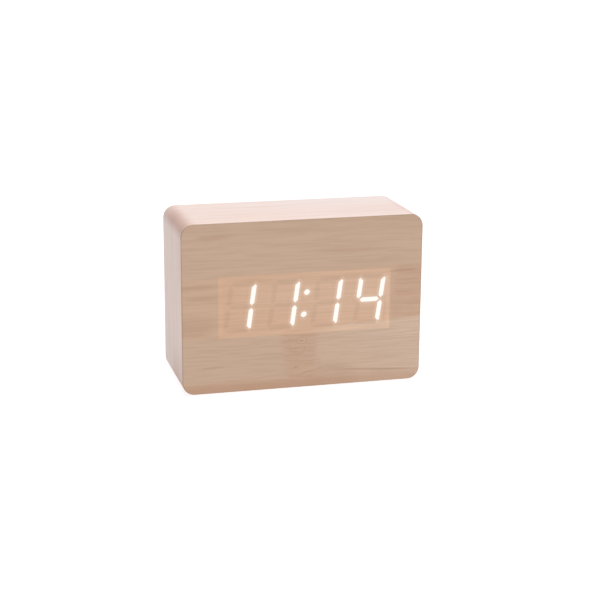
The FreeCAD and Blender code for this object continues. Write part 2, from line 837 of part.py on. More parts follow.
def switch_base(x):
    """The body of a push switch, with its plunger well and four legs on the board."""
    top = board_rear_y + switch_body
    body = block_at(x, button_z, board_rear_y, top, switch_side, switch_side)
    well = peg(x, button_z, board_rear_y + switch_floor, top, plunger_radius + plunger_clearance)
    pieces = [body]
    for s in (-1, 1):
        for t in (-1, 1):
            foot_x = x + s * (switch_side + leg_reach) / 2
            post_x = x + s * (switch_side + leg_thickness) / 2
            z = button_z + t * leg_offset
            foot_top = board_rear_y + leg_thickness
            post_top = board_rear_y + leg_rise
            pieces.append(block_at(foot_x, z, board_rear_y, foot_top, leg_reach, leg_width))
            pieces.append(block_at(post_x, z, board_rear_y, post_top, leg_thickness, leg_width))
    return joined(pieces).cut(well)


def switch_plunger(x):
    """The moving pin of a push switch. The dome under it has the room of its travel and as much again."""
    inner = board_rear_y + switch_floor + 2 * button_travel
    return peg(x, button_z, inner, plunger_tip_y, plunger_radius)


# ---------------------------------------------------------------- main board and what it carries
def main_board():
    """The L-shaped board: a strip behind the buttons and a column beside the battery tub."""
    strip = block(strip_left, strip_right, board_front_y, board_rear_y, strip_bottom, strip_top)
    column = block(column_left, column_right, board_front_y, board_rear_y, column_bottom, column_top)
    hole = board_screw_radius + screw_clearance
    holes = [peg(x, z, board_front_y, board_rear_y, hole) for x, z in board_screw_places]
    return joined([strip, column]).cut(group(holes))


def board_screws():
    """The four screws that hold the main board to the cover's bosses."""
    tip = board_rear_y + board_screw_length - pilot_spare
    return group([screw(x, z, board_front_y, tip, board_screw_radius) for x, z in board_screw_places])


def usb_outline(extra, y0, y1):
    """The outline of the power socket, grown by extra: a rectangle with two cut corners."""
    w = usb_width / 2 + extra
    h = usb_height / 2 + extra
    c = usb_chamfer
    corners = [(-w, h), (w, h), (w, -h + c), (w - c, -h), (c - w, -h), (-w, -h + c)]
    return prism([(column_x + a, usb_z + b) for a, b in corners], y0, y1)


def usb_shell():
    """The metal sleeve of the power socket."""
    mouth_y = board_rear_y + usb_depth
    return usb_outline(0, board_rear_y, mouth_y).cut(usb_outline(-usb_wall, board_rear_y, mouth_y))


def usb_insert():
    """The plastic floor and tongue inside the sleeve."""
    floor_y = board_rear_y + usb_floor
    tongue_end_y = board_rear_y + usb_depth - usb_tongue_inset
    floor = usb_outline(-usb_wall, board_rear_y, floor_y)
    z = usb_z + usb_height / 2 - usb_wall - usb_tongue_drop - usb_tongue_thickness / 2
    tongue = block_at(column_x, z, floor_y, tongue_end_y, usb_tongue_width, usb_tongue_thickness)
    return joined([floor, tongue])


def sound_can(x, z, radius, height, rounding, port_radius, port_depth):
    """A round sounding part on the board, with a port that faces the cover."""
    top = board_rear_y + height
    body = soften(peg(x, z, board_rear_y, top, radius), top, rounding)
    return body.cut(peg(x, z, top - port_depth, top, port_radius))


def buzzer():
    """The round sounder."""
    return sound_can(column_x, buzzer_z, buzzer_radius, buzzer_height, 0.4, buzzer_port, 1.0)


def microphone():
    """The small round microphone behind its hole."""
    port = microphone_radius * 0.6
    return sound_can(microphone_x, sensor_z, microphone_radius, microphone_height, 0.2, port, 0.4)


def temperature_sensor():
    """A glass bead on two stiff wires."""
    top = board_rear_y + bead_stand
    bead = Part.makeSphere(bead_radius, V(bead_x, top, sensor_z))
    wires = [peg(bead_x + s * bead_radius / 2, sensor_z, board_rear_y, top, bead_wire) for s in (-1, 1)]
    return joined([bead] + wires)


def control_chip():
    """The clock's controller, with a row of legs above and below."""
    x = (button_x[0] + button_x[1]) / 2 + chip_length * 0.3
    z = (strip_bottom + strip_top) / 2
    back_y = board_front_y - chip_lift
    t = chip_pin_thickness
    middle_y = back_y - chip_height / 2
    w = chip_pin_width
    pieces = [block_at(x, z, back_y - chip_height, back_y, chip_length, chip_width)]
    for k in range(chip_pins):
        pin_x = x + (k - (chip_pins - 1) / 2) * chip_pin_pitch
        for s in (-1, 1):
            root = z + s * (chip_width / 2 + chip_pin_knee / 2)
            knee = z + s * (chip_width / 2 + chip_pin_knee - t / 2)
            sole = z + s * (chip_width / 2 + (chip_pin_knee + chip_pin_reach - t) / 2)
            sole_length = chip_pin_reach - chip_pin_knee + t
            pieces.append(block_at(pin_x, root, middle_y - t / 2, middle_y + t / 2, w, chip_pin_knee))
            pieces.append(block_at(pin_x, knee, middle_y - t / 2, board_front_y, w, t))
            pieces.append(block_at(pin_x, sole, board_front_y - t, board_front_y, w, sole_length))
    return joined(pieces)


def clock_crystal():
    """The timing crystal's can, lying on the board."""
    start = V(column_left + 2 * crystal_radius, board_front_y - crystal_radius, sensor_z - crystal_drop)
    can = Part.makeCylinder(crystal_radius, crystal_length, start, V(1, 0, 0))
    return can.makeFillet(crystal_radius / 5, [can.Edges[0], can.Edges[2]])


def filter_capacitor():
    """The supply's electrolytic capacitor, standing on the board."""
    front = board_front_y - capacitor_height
    can = peg(column_x + capacitor_offset, usb_z + capacitor_rise, front, board_front_y, capacitor_radius)
    return soften(can, front, capacitor_radius / 6)


# ---------------------------------------------------------------- wiring
def black_lead():
    """From the spring terminal's tab, up the tub's front, to the main board's strip."""
    x = bay_left + contact_thickness + lead_radius
    y = tub_front_y - solder_tab_reach / 2
    z = cell_z[0]
    hole_z = strip_bottom + 8.0
    points = [V(x, y, z), V(x, y, z + 6.0), V(x + 2.0, y, hole_z - 3.0)]
    points += [V(x + 2.5, (y + board_front_y) / 2, hole_z), V(x + 2.5, board_front_y, hole_z)]
    return lead("black lead", points)


def red_lead():
    """From the bump terminal's tab, round the tub's corner, to the main board's column."""
    x = bay_right - contact_thickness - lead_radius
    y = tub_front_y - solder_tab_reach / 2
    z = cell_z[-1]
    hole_x = column_left + 4.0
    points = [V(x, y, z), V(x, y, z + 5.0), V(x + 3.5, y, z + 9.0)]
    points += [V(hole_x, (y + board_front_y) / 2, z + 11.0), V(hole_x, board_front_y, z + 11.0)]
    return lead("red lead", points)


def lead(name, points):
    """A round insulated wire along its path."""
    radii = [arc_radius(*three)[1] for three in zip(points, points[1:], points[2:])]
    print(name, "arc radii", [round(r, 2) for r in radii])
    section = Part.Wire(Part.makeCircle(lead_radius, points[0], points[1] - points[0]))
    return swept(points, section)


def display_ribbon():
    """The flat cable from the display board to the main board, in a loose S."""
    y0 = display_board_rear_y + connector_height
    y1 = board_front_y - connector_height
    middle = (y0 + y1) / 2
    points = [V(ribbon_x, y0, display_plug_z), V(ribbon_x, middle, display_plug_z)]
    points += [V(ribbon_x, middle, board_plug_z), V(ribbon_x, y1, board_plug_z)]
    w = ribbon_width / 2
    t = ribbon_thickness / 2
    corners = [(-w, -t), (w, -t), (w, t), (-w, t), (-w, -t)]
    section = Part.makePolygon([V(ribbon_x + a, y0, display_plug_z + b) for a, b in corners])
    return swept(points, section)


# ---------------------------------------------------------------- every sub-part, by name
def all_parts():
    """Every sub-part's name and shape."""
    tabs = solder_tab_spots()
    display_header_end = display_board_rear_y + connector_height
    board_header_start = board_front_y - connector_height
    parts = {
        "case_core": case_core(),
        "side_wrap": side_wrap(),
        "front_veneer": front_veneer(),
        "rear_cover": rear_cover(),
        "battery_door": battery_door(),
        "cover_screws": cover_screws(),
        "diffuser_film": diffuser_film(),
        "segment_reflector": segment_reflector(),
        "display_board": display_board(),
        "segment_leds": segment_leds(),
        "display_screws": display_screws(),
        "display_header": ribbon_header(display_plug_z, display_board_rear_y, display_header_end),
        "main_board": main_board(),
        "board_screws": board_screws(),
        "board_header": ribbon_header(board_plug_z, board_header_start, board_front_y),
        "display_ribbon": display_ribbon(),
        "usb_shell": usb_shell(),
        "usb_insert": usb_insert(),
        "buzzer": buzzer(),
        "microphone": microphone(),
        "temperature_sensor": temperature_sensor(),
        "control_chip": control_chip(),
        "clock_crystal": clock_crystal(),
        "filter_capacitor": filter_capacitor(),
        "negative_terminal": contact(True, [0], tabs[0]),
        "left_bridge_contact": contact(True, [1, 2]),
        "right_bridge_contact": contact(False, [0, 1]),
        "positive_terminal": contact(False, [2], tabs[1]),
        "battery_lead_black": black_lead(),
        "battery_lead_red": red_lead(),
    }
    parts.update(feet())
    for k in range(cell_count):
        parts["battery_cell_" + str(k + 1)] = battery_cell(k)
    for name, x in zip(button_names, button_x):
        parts[name + "_button"] = button_cap(x)
        parts[name + "_switch"] = switch_base(x)
        parts[name + "_plunger"] = switch_plunger(x)
    return parts


os.makedirs("parts", exist_ok=True)
for part_name, part_shape in all_parts().items():
    part_shape.exportStep("parts/" + part_name + ".step")
    solids = len(part_shape.Solids)
    print(part_name, solids, "solids", round(part_shape.Volume, 2), "mm3", part_shape.isValid())
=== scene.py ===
import bmesh
import bpy
import math
from mathutils import Matrix, Vector


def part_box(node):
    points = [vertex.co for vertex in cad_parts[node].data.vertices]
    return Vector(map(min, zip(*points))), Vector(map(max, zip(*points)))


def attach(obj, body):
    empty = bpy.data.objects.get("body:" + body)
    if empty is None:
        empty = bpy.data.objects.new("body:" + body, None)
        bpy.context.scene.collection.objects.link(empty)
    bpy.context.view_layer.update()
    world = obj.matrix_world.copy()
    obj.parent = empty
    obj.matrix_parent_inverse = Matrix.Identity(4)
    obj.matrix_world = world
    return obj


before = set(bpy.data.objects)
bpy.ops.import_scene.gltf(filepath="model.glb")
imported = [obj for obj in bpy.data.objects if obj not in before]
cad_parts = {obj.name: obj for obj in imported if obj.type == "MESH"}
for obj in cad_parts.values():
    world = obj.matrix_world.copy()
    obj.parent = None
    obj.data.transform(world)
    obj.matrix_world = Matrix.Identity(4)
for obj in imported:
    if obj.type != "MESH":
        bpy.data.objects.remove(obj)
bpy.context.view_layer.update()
scene = bpy.context.scene


# ------------------------------------------------------------------------------------------------------
# The core: one block of medium-density fibreboard, milled out from the rear and cut through for the
# display. Only its rear rim shows, as raw pressed fibre with the cutter's fine scallops.

class Value:
    """Something that changes over a surface. Numbers take plain maths, which adds the nodes for it."""

    def __init__(self, finish, socket):
        self.finish = finish
        self.socket = socket

    def maths(self, operation, *values):
        return self.finish.node("ShaderNodeMath", values, operation=operation)

    def __add__(self, other):
        return self.maths("ADD", self, other)

    def __sub__(self, other):
        return self.maths("SUBTRACT", self, other)

    def __rsub__(self, other):
        return self.maths("SUBTRACT", other, self)

    def __mul__(self, other):
        return self.maths("MULTIPLY", self, other)

    def __truediv__(self, other):
        return self.maths("DIVIDE", self, other)

    def __mod__(self, other):
        return self.maths("FLOORED_MODULO", self, other)

    def __pow__(self, other):
        return self.maths("POWER", self, other)

    def __abs__(self):
        return self.maths("ABSOLUTE", self)

    def __neg__(self):
        return self * -1

    __radd__ = __add__
    __rmul__ = __mul__

    def least(self, other):
        return self.maths("MINIMUM", self, other)

    def most(self, other):
        return self.maths("MAXIMUM", self, other)

    def rise(self, low, high):
        """0 below low and 1 above high, with a smooth ramp between. Swapped limits make it fall."""
        limits = (self, low, high)
        return self.finish.node("ShaderNodeMapRange", limits, interpolation_type="SMOOTHSTEP")


class Finish:
    """A procedural material. Places on it are in millimetres, in the clock's own frame."""

    def __init__(self, name, **constants):
        self.material = bpy.data.materials.new(name)
        self.material.use_nodes = True
        self.tree = self.material.node_tree
        self.tree.nodes.clear()
        output = self.tree.nodes.new("ShaderNodeOutputMaterial")
        self.shader = self.tree.nodes.new("ShaderNodeBsdfPrincipled")
        self.tree.links.new(self.shader.outputs[0], output.inputs[0])
        for socket, value in constants.items():
            self.shader.inputs[socket.replace("_", " ")].default_value = value
        metres = self.node("ShaderNodeTexCoord", output="Object")
        place = self.node("ShaderNodeVectorMath", {0: metres, "Scale": 1000.0}, operation="SCALE")
        split = (self.node("ShaderNodeSeparateXYZ", (place,), output=k) for k in range(3))
        self.x, self.y, self.z = split

    def node(self, kind, values=(), output=0, stops=None, **settings):
        """Adds a node: its settings first, then the values or links of its sockets."""
        made = self.tree.nodes.new(kind)
        for name, value in settings.items():
            setattr(made, name, value)
        if stops:
            ramp = made.color_ramp.elements
            while len(ramp) < len(stops):
                ramp.new(0.5)
            for element, (position, colour) in zip(ramp, stops):
                element.position = position
                element.color = (*colour, 1.0)
        for key, value in (values.items() if isinstance(values, dict) else enumerate(values)):
            self.put(made.inputs[key], value)
        return Value(self, made.outputs[output])

    def put(self, socket, value):
        """Links a value to a socket, or sets the socket."""
        if isinstance(value, Value):
            self.tree.links.new(value.socket, socket)
        elif socket.type == "RGBA" and len(value) == 3:
            socket.default_value = (*value, 1.0)
        else:
            socket.default_value = value

    def noise(self, a, b, c=0.0, detail=2.0, roughness=0.5):
        """Cloudy noise from 0 to 1, with features about one unit of a, b and c in size."""
        where = self.node("ShaderNodeCombineXYZ", (a, b, c))
        sockets = {"Vector": where, "Scale": 1.0, "Detail": detail, "Roughness": roughness}
        return self.node("ShaderNodeTexNoise", sockets)

    def mix(self, share, a, b, blend="MIX"):
        """Colour a, then colour b as share goes from 0 to 1."""
        sockets = {0: share, 6: a, 7: b}
        return self.node("ShaderNodeMix", sockets, output=2, data_type="RGBA", blend_type=blend)

    def tint(self, share, colour, factors):
        """A colour with its channels multiplied, fully where share is 1."""
        return self.mix(share, colour, factors, "MULTIPLY")

    def shade(self, colour, amount):
        """A colour made lighter or darker by a factor."""
        return self.node("ShaderNodeVectorMath", {0: colour, "Scale": amount}, operation="SCALE")

    def bump(self, height, millimetres):
        """Relief from a height of 0 to 1, which stands for that many millimetres."""
        sockets = {"Height": height, "Distance": millimetres / 1000.0, "Strength": 1.0}
        self.put(self.shader.inputs["Normal"], self.node("ShaderNodeBump", sockets))

    def set(self, **links):
        for socket, value in links.items():
            self.put(self.shader.inputs[socket.replace("_", " ")], value)


def rgb(red, green, blue):
    """An 8-bit colour as the linear numbers that nodes use."""
    return tuple(((c / 255 + 0.055) / 1.055) ** 2.4 for c in (red, green, blue))


def dress(finish, *names):
    """Gives CAD nodes a finish."""
    for name in names:
        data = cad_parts[name].data
        data.materials.clear()
        data.materials.append(finish.material)


def fibreboard():
    f = Finish("fibreboard", Roughness=0.9, Specular_IOR_Level=0.25)
    fibres = f.noise(f.x * 2.2, f.y * 2.2, f.z * 2.2, detail=5, roughness=0.7)
    clumps = f.noise(f.x * 0.35, f.y * 0.35, f.z * 0.35)
    brown = f.mix(fibres.rise(0.35, 0.68), rgb(134, 97, 62), rgb(178, 139, 98))
    f.set(Base_Color=f.shade(brown, 0.9 + clumps * 0.2))
    scallops = f.noise(f.x * 0.4, f.y * 5.0, f.z * 0.4)
    f.bump(fibres * 0.7 + scallops * 0.3, 0.06)
    return f


dress(fibreboard(), "case_core")


# ------------------------------------------------------------------------------------------------------
# The wrap: a strip of pale wood film, bent round the four sides and butted under the base. Its grain
# runs round the case, so it lies along the width on the top and upright on the sides.

bend_radius = 5.0


def past_bends(f, low, high):
    """How far a place lies past the start of the rounded edges: sideways, then up or down."""
    past_side = abs(f.x) - (high.x - bend_radius)
    past_top = abs(f.z - (low.z + high.z) / 2) - ((high.z - low.z) / 2 - bend_radius)
    return past_side, past_top


def wrap_wood():
    f = Finish("wrap_wood", Specular_IOR_Level=0.35, Coat_Roughness=0.35)
    low, high = (corner * 1000 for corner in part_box("side_wrap"))
    slow = 0.012
    wander = f.noise(f.x * 0.025, f.y * 0.08, f.z * 0.025)
    across = f.y + wander * 2.0
    bands = f.noise(f.x * slow, across * 0.28, f.z * slow, detail=2)
    lines = f.noise(f.x * slow * 2, across * 1.5, f.z * slow * 2, detail=3, roughness=0.6)
    fibres = f.noise(f.x * 0.12, across * 8.0, f.z * 0.12, detail=2)
    pores = f.noise(f.x * 0.35, across * 5.0, f.z * 0.35).rise(0.66, 0.74)
    tone = 0.92 + bands * 0.07 + lines * 0.07 + fibres * 0.03 - pores * 0.03
    pale = f.mix(lines.rise(0.35, 0.7), rgb(223, 199, 188), rgb(232, 213, 205))
    pale = f.mix(bands.rise(0.55, 0.7) * 0.35, pale, rgb(221, 201, 201))

    # Painted shade darkens the film round the rounded edges, and it turns paler and greyer to the rear
    # right.
    past_side, past_top = past_bends(f, low, high)
    bend_shade_reach = 1 - f.z.rise(30, 10) * f.y.rise(-8, 18) * 0.9 - f.x.rise(0, 40) * 0.6
    painted_bend_shade = past_side.least(past_top).rise(-2.5, 3.2) * bend_shade_reach.most(0)
    pale = f.tint(painted_bend_shade * (0.5 + f.y.rise(20, 5) * 0.5), pale, (0.77, 0.66, 0.63))
    rear_right_paler = f.y.rise(-8, 18) * f.x.rise(-50, 25)
    pale = f.mix(rear_right_paler * 0.7, pale, rgb(227, 214, 211))

    # Its front edge is a warmer tan, and painted shade darkens the sides low down.
    front_edge = f.y.rise(-15, -18.5) * past_top.rise(0, -6)
    pale = f.mix(front_edge * 0.35, pale, rgb(238, 190, 174))
    low_side_shade = f.z.rise(20, 4) * f.y.rise(9, -6)
    pale = f.tint(low_side_shade, pale, (0.9, 0.81, 0.775))
    # Painted highlight lightens the top and bottom near the front, and painted shade darkens the wrap
    # low down.
    painted_top_highlight = f.y.rise(-10, -17) * past_top.rise(2, 4)
    butt = abs(f.x).rise(0.18, 0.06) * f.z.rise(low.z + 0.6, low.z + 0.1)
    tone = tone * (1 - butt * 0.6 - f.z.rise(32, 2) * 0.06 + painted_top_highlight * 0.045)
    f.set(Base_Color=f.shade(pale, tone))
    f.set(Roughness=0.42 + fibres * 0.16)
    f.bump(lines * 0.5 + fibres * 0.5 - pores - butt * 4, 0.012)
    return f


dress(wrap_wood(), "side_wrap")


# ------------------------------------------------------------------------------------------------------
# The front: bamboo in three glued strips, sanded and sealed. It is thin enough that the display shines
# through it, and that the pale block behind it shows a little brighter than the board round it.

digit_pitch = 18.0
bar_pitch = 9.35
bar_reach = 4.7
bar_half = 0.95
bar_gap = 1.06
tip_gap = 0.16
tip_shift = 0.35
middle_gap = 0.6
digit_lean = 0.14
colon_rise = 4.6
colon_radius = 1.15


def middle_mm(name):
    """The middle of a CAD node's box, in millimetres."""
    low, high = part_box(name)
    return (low + high) * 500.0


def bar(along, across, tip, shift=0.0, start=None):
    """How far a place lies outside one bar of a digit: a long hexagon whose tip is shifted outwards."""
    slant = math.sqrt(0.5)
    far = abs(across) - bar_half
    far = far.most((along + abs(across - shift) - tip) * slant)
    if start is not None:
        far = far.most((abs(across) - along + start) * slant)
    return far


def display_light(f):
    """Distances over the front, in millimetres: from the lit bars, and from the unlit ones."""
    centre = middle_mm("diffuser_film")
    v = f.z - centre.z
    u = f.x - centre.x - v * digit_lean
    here = (u + 2 * digit_pitch) % digit_pitch - digit_pitch / 2
    last = u - 1.5 * digit_pitch
    side_tip = bar_pitch - tip_gap
    lit = bar(abs(v), here - bar_reach, side_tip, tip_shift, bar_gap / 2)
    lit = lit.least(bar(v, -last - bar_reach, side_tip, tip_shift, bar_gap / 2))
    lit = lit.least(bar(abs(last), v, bar_reach - middle_gap))
    dots = (u * u + (abs(v) - colon_rise) ** 2) ** 0.5 - colon_radius
    lit = lit.least(dots)
    dark = bar(abs(v), abs(here) - bar_reach, side_tip, tip_shift, bar_gap / 2)
    dark = dark.least(bar(abs(here), abs(v) - bar_pitch, bar_reach - tip_gap, tip_shift))
    dark = dark.least(bar(abs(here), v, bar_reach - middle_gap))
    in_row = abs(u).rise(2 * digit_pitch, 2 * digit_pitch - 0.5)
    return lit.most((0.5 - in_row) * 100), dark.most((0.5 - in_row) * 100)


def knuckle(f, h, x, foot, head, lean, width):
    """The scar where a leaf sat on the cane: a fuzzy dark band up a strip, from foot to head."""
    ragged = f.noise(f.x * 0.25, h * 0.45, x, detail=3, roughness=0.65)
    off = f.x - x - (h - (foot + head) / 2) * lean + (ragged - 0.5) * width * 0.7
    inside = h.rise(foot - 0.1, foot + 0.1) * h.rise(head + 0.1, head - 0.1)
    return abs(off).rise(width, width * 0.45) * inside


def fleck(f, h, x, height, half_width, half_height, lean=0.0):
    """How far a place lies from the middle of a long mark in the grain. 1 is its outline."""
    along = (f.x - x) / half_width
    across = (h - height - (f.x - x) * lean) / half_height
    return (along * along + across * across) ** 0.5


def bamboo_front():
    f = Finish("bamboo_front", Specular_IOR_Level=0.4, Emission_Strength=1.0)
    low, high = (corner * 1000 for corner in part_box("front_veneer"))
    h = f.z - low.z

    # Two glued joints part the sheet into three strips, and each strip has a grain of its own.
    low_seam = f.x * 0.045 + 24.8
    high_seam = f.x * 0.012 + 48.75
    above_low = h.rise(low_seam - 0.08, low_seam + 0.08)
    above_high = h.rise(high_seam - 0.1, high_seam + 0.1)
    strip = (above_low + above_high) * 17.3
    lower_scar = knuckle(f, h, -1.0, -1.0, low_seam, -0.12, 9.5)
    right_scar = knuckle(f, h, 44.5, low_seam, high_seam, 0.05, 9.0)
    scars = lower_scar.most(right_scar * 0.7)
    wander = f.noise(f.x * 0.02, h * 0.06, strip) * 2.2
    swirl = f.noise(f.x * 0.2, h * 0.3, strip) * scars * 1.6
    across = h + f.x * 0.012 + wander + swirl
    bands = f.noise(f.x * 0.018, across * 0.2, strip)
    lines = f.noise(f.x * 0.045, across * 1.25, strip, detail=3, roughness=0.65)
    fibres = f.noise(f.x * 0.12, across * 6.0, strip, detail=2)
    flecks = f.noise(f.x * 0.09, across * 2.6, strip + 5, detail=1).rise(0.66, 0.76)
    streaks = f.noise(f.x * 0.07, across * 0.9, strip + 9, detail=2).rise(0.5, 0.66)

    tan = f.mix(above_low * (1 - above_high), rgb(202, 171, 147), rgb(204, 170, 145))
    tan = f.mix(f.x.rise(-20, 45) * (1 - above_low) * 0.7, tan, rgb(212, 185, 164))
    tan = f.mix(lines.rise(0.6, 0.36) * 0.4, tan, rgb(188, 156, 130))
    tan = f.mix(scars * (0.4 + streaks * 0.5), tan, rgb(194, 154, 128))

    # Marks in the grain: the middle's x and height, half the length and height, and the lean.
    dark_marks = (
        (-0.9, 19.8, 1.05, 0.35, 0.0), (-3.6, 16.5, 1.4, 0.22, -0.2), (-3.4, 15.4, 1.5, 0.22, -0.2),
        (-3.2, 8.6, 0.8, 0.45, 0.0), (1.0, 6.2, 3.4, 0.3, 0.33), (28.0, 5.6, 22.0, 0.5, -0.06),
        (42.5, 46.9, 6.0, 0.5, 0.0),
    )
    faint_marks = (
        (-44.0, 44.4, 10.0, 1.2, 0.0), (-46.0, 25.2, 7.0, 1.2, 0.0), (-42.0, 39.8, 8.0, 0.8, 0.01),
        (-37.0, 64.5, 7.0, 1.0, 0.0), (22.0, 56.5, 14.0, 0.9, 0.0), (-38.0, 10.8, 5.0, 0.5, 0.04),
        (43.5, 42.8, 5.0, 0.35, 0.0), (42.0, 37.9, 4.5, 0.35, 0.0), (46.0, 32.6, 3.5, 0.4, 0.0),
        (13.0, 4.0, 10.0, 6.5, 0.0), (-46.0, 28.5, 11.0, 4.0, 0.0),
    )
    bud = abs(fleck(f, h, -2.4, 17.4, 3.3, 3.0) - 1).rise(0.14, 0.02) * h.rise(19.5, 15.0)
    halo = abs(fleck(f, h, -0.9, 19.8, 2.0, 1.25) - 1).rise(0.25, 0.05)
    marks = bud.most(halo) * 0.6
    for share, some in ((1.0, dark_marks), (0.5, faint_marks)):
        for mark in some:
            marks = marks.most(fleck(f, h, *mark).rise(1.4, 0.4) * share)
    tan = f.mix(marks * 0.5, tan, rgb(172, 132, 106))
    glints = abs(fleck(f, h, -0.9, 19.8, 1.6, 0.8) - 1).rise(0.3, 0.1)
    glints = glints.most(fleck(f, h, -3.5, 15.95, 1.4, 0.2, -0.2).rise(1.2, 0.6))
    glints = glints.most(fleck(f, h, 3.0, 7.6, 4.5, 0.7, 0.2).rise(1.4, 0.5) * 0.6)
    tan = f.mix(glints * 0.4, tan, rgb(212, 182, 156))

    tone = 0.915 + (bands - 0.5) * 0.05 + (lines - 0.5) * 0.07
    tone = tone + (fibres - 0.5) * 0.03 - flecks * 0.03
    # The sheet is made a little darker near its top, and paler in a patch at its right end.
    pale_patch = fleck(f, h, 46.5, 27.0, 11.0, 9.0).rise(1.3, 0.4)
    tan = f.shade(tan, tone - h.rise(61, 68) * 0.035 + pale_patch * 0.035)
    foot_band = (h + (lines - 0.5) * 2.0).rise(5.6, 1.6) * (0.85 - f.x.rise(-25, 45) * 0.3)
    tan = f.mix(foot_band, tan, rgb(181, 142, 116))

    # The white block behind shows as a warmer window with a brighter border, and the unlit bars as
    # faint shadows in it.
    film_low, film_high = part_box("diffuser_film")
    window = (film_high - film_low) * 500
    centre = middle_mm("diffuser_film")
    inset = (window.x - abs(f.x - centre.x)).least(window.z - abs(f.z - centre.z))
    lit, dark = display_light(f)
    behind = inset.rise(-0.3, 0.5)
    border = behind * inset.rise(2.4, 1.4)
    tan = f.tint(behind, tan, (1.115, 1.06, 1.015))
    tan = f.tint(behind * f.x.rise(-30, 10), tan, (1.0, 1.02, 1.035))
    upper = f.z.rise(27, 38) * f.x.rise(-34, -24)
    tan = f.tint(behind * upper, tan, (1.005, 1.03, 1.05))
    rightwards = f.x.rise(-30, 20)
    brighter = 1 + border * (0.035 + rightwards * 0.025) + behind * rightwards * 0.03
    top_border = behind * f.z.rise(45, 47) * f.x.rise(-34, -20)
    tan = f.tint(top_border, tan, (0.94, 0.925, 0.91))
    tan = f.shade(tan, brighter - behind * dark.rise(0.5, -0.35) * 0.07)

    # The sheet's rim is a little darker.
    past_side, past_top = past_bends(f, low, high)
    outline = (past_side.most(0) ** 2 + past_top.most(0) ** 2) ** 0.5 - bend_radius
    outline = outline + past_side.most(past_top).least(0)
    tan = f.shade(tan, 1 - outline.rise(-0.55, -0.1) * 0.2)

    # The lit bars, and the light that spreads from them in the wood.
    glow = lit.rise(0.12, -0.14)
    spill = lit.rise(2.0, 0.0)
    light = f.mix(spill * spill * 0.1, (0, 0, 0), (0.85, 0.83, 0.76))
    light = f.mix(glow, light, (1.0, 0.955, 0.9))
    f.set(Base_Color=f.shade(tan, 1 - glow * 0.97), Emission_Color=light)
    f.set(Roughness=0.44 + fibres * 0.14)
    f.bump(lines * 0.4 + fibres * 0.6 - flecks * 0.5, 0.012)
    return f


dress(bamboo_front(), "front_veneer")


# ------------------------------------------------------------------------------------------------------
# The feet: four soft rubber pads, punched from sheet and stuck under the base near its corners. They
# keep the wood clear of the table.

def foot_rubber():
    f = Finish("foot_rubber", Specular_IOR_Level=0.3)
    grain = f.noise(f.x * 4, f.y * 4, f.z * 4, detail=3)
    f.set(Base_Color=f.mix(grain, rgb(38, 38, 38), rgb(58, 57, 56)), Roughness=0.75 + grain * 0.15)
    f.bump(grain, 0.02)
    return f


dress(foot_rubber(), "foot_front_left", "foot_front_right", "foot_rear_left", "foot_rear_right")


# ------------------------------------------------------------------------------------------------------
# The display: a white block with a well for each bar, a milky film in front of it, and a circuit board
# with one small lamp to a well behind it. Each lamp's two legs are soldered at the back of the board.

def moulded(name, colour, roughness, grain_mm, depth, painted=None):
    """Injection-moulded plastic with a spark-eroded grain of that size and depth, in millimetres."""
    f = Finish(name, Specular_IOR_Level=0.45)
    size = 1 / grain_mm
    grain = f.noise(f.x * size, f.y * size, f.z * size, detail=2)
    flow = f.noise(f.x * 0.06, f.y * 0.06, f.z * 0.06)
    if painted:
        colour = f.mix(painted(f), colour, rgb(92, 88, 84))
    f.set(Base_Color=f.shade(colour, 0.98 + flow * 0.04 + (grain - 0.5) * 0.05))
    f.set(Roughness=roughness + (grain - 0.5) * 0.12)
    f.bump(grain, depth)
    return f


def circuit_board():
    """Glass-fibre board under green lacquer, over copper tracks and pads on a tenth-inch grid."""
    f = Finish("board_lacquer", Specular_IOR_Level=0.5)
    weave = f.noise(f.x * 3.2, f.y, f.z * 3.2, detail=1)
    pitch = 2.54
    column = f.x / pitch
    row = f.z / pitch
    off_x = abs(column % 1 - 0.5) * pitch
    off_z = abs(row % 1 - 0.5) * pitch
    column = column - column % 1
    row = row - row % 1
    along_x = f.noise(column * 0.13, row * 1.7, 3).rise(0.52, 0.53) * off_z.rise(0.24, 0.18)
    along_z = f.noise(column * 1.7, row * 0.13, 8).rise(0.55, 0.56) * off_x.rise(0.24, 0.18)
    out = (off_x * off_x + off_z * off_z) ** 0.5
    holes = f.noise(column * 1.9, row * 1.9, 5).rise(0.56, 0.57)
    pads = out.rise(0.62, 0.55) * holes
    copper = along_x.most(along_z).most(pads)
    colour = f.mix(copper * 0.7, rgb(18, 84, 48), rgb(46, 128, 80))
    # The dark middle of each pad is a painted hole, its darkness painted shade.
    colour = f.mix(out.rise(0.24, 0.18) * holes, colour, rgb(10, 30, 20))
    f.set(Base_Color=f.shade(colour, 0.94 + weave * 0.12), Roughness=0.32 + weave * 0.1)
    f.bump(copper * 0.8 + weave * 0.2, 0.03)
    return f


def plated(name, colour, roughness, streak=0.12):
    """Plated metal with fine scratches and a little dulling."""
    f = Finish(name, Metallic=1.0)
    scratches = f.noise(f.x * 7, f.y * 1.2, f.z * 7, detail=3)
    dull = f.noise(f.x * 0.4, f.y * 0.4, f.z * 0.4)
    f.set(Base_Color=f.shade(colour, 0.92 + dull * 0.12))
    f.set(Roughness=roughness + (scratches - 0.5) * streak + dull * 0.05)
    f.bump(scratches, 0.004)
    return f


